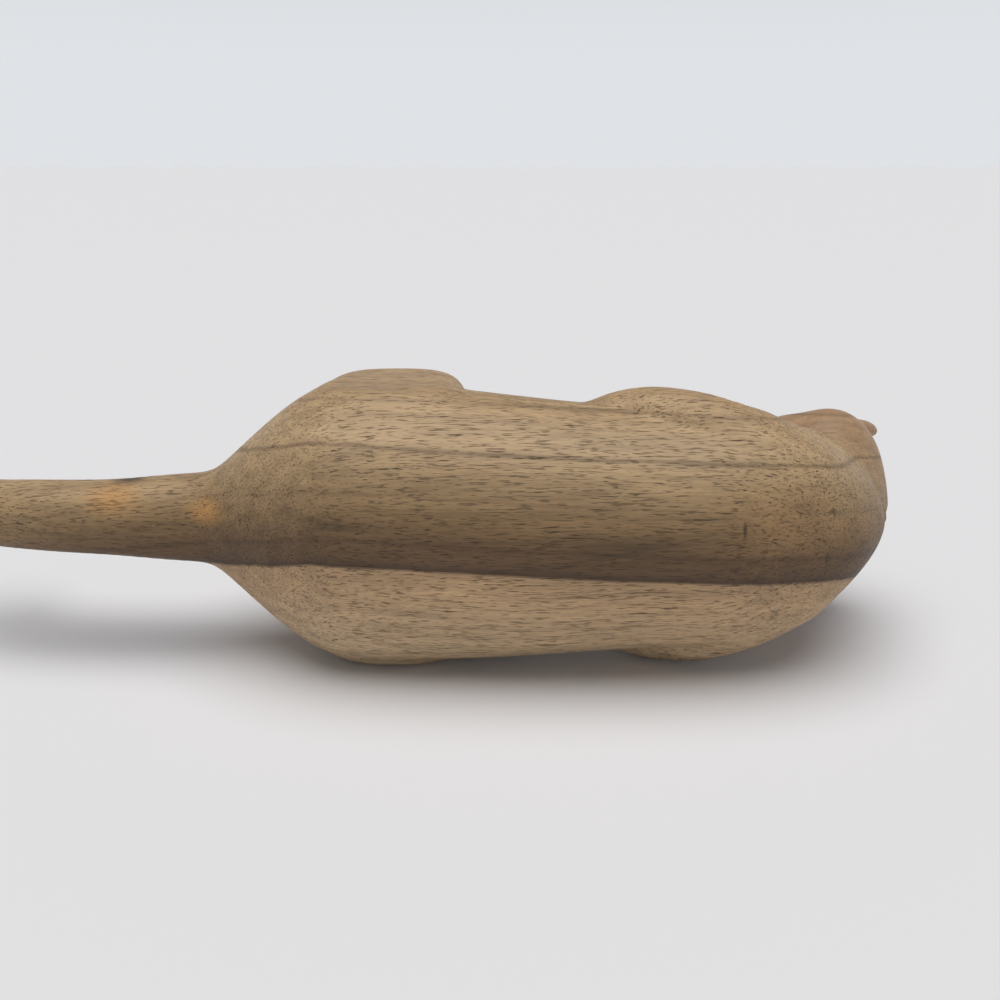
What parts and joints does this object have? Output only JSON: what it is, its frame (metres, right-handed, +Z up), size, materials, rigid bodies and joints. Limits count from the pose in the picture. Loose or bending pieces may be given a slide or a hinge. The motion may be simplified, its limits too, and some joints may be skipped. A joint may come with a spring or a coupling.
{
  "type": "carved wooden otter",
  "caption": "Sea otter carved from a single block of wood, floating on its back with head raised and paws together, lying on its flank.",
  "frame": {"origin": "middle of the otter's length and depth, at the level of the flats it lies on", "axes": "+X from the tail to the head, +Y from the back to the belly, +Z up across the body, out of the upper flank"},
  "size_m": [0.3273, 0.0963, 0.0892],
  "materials": {
    "wood": "dry satin walnut with dark open pores and a pale tan strip along the lower flank"
  },
  "bodies": {
    "root": {"otter": "wood"}
  },
  "joints": []
}
